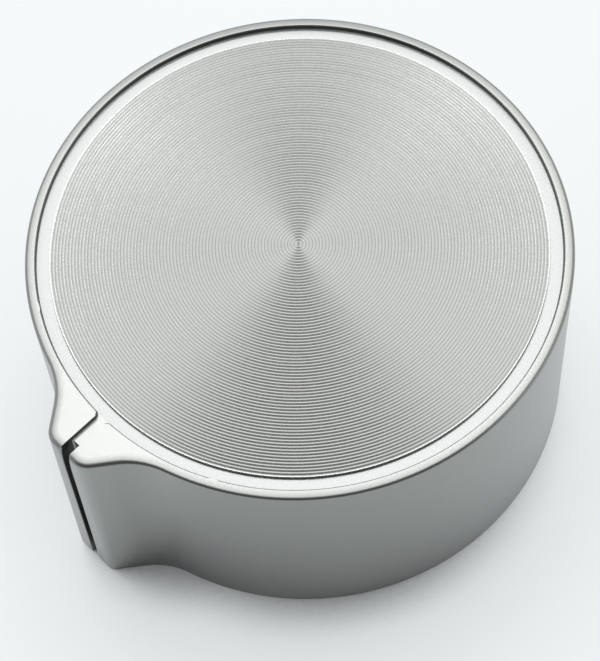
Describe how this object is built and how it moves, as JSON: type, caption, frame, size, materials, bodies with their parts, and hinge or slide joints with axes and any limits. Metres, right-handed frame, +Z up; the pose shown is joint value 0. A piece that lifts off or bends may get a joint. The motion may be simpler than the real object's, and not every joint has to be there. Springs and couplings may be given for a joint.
{
  "type": "stove knob",
  "caption": "Round die-cast stove knob with a grooved pointer nose, a turned aluminium face disc set in the top and a D-shaped shaft socket in the hollow underside.",
  "frame": {"origin": "on the shaft axis, in the plane of the base rim", "axes": "+Z up the shaft axis to the face plate, -Y towards the pointer"},
  "size_m": [0.0428, 0.0458, 0.0205],
  "materials": {
    "knob_body": "satin silver-grey over zinc alloy",
    "face_plate": "concentric turned grooves",
    "plate_adhesive": "white double-sided film",
    "shaft_clip": "plain spring steel"
  },
  "bodies": {
    "root": {"knob_body": "knob_body", "face_plate": "face_plate", "plate_adhesive": "plate_adhesive", "shaft_clip": "shaft_clip"}
  },
  "joints": []
}
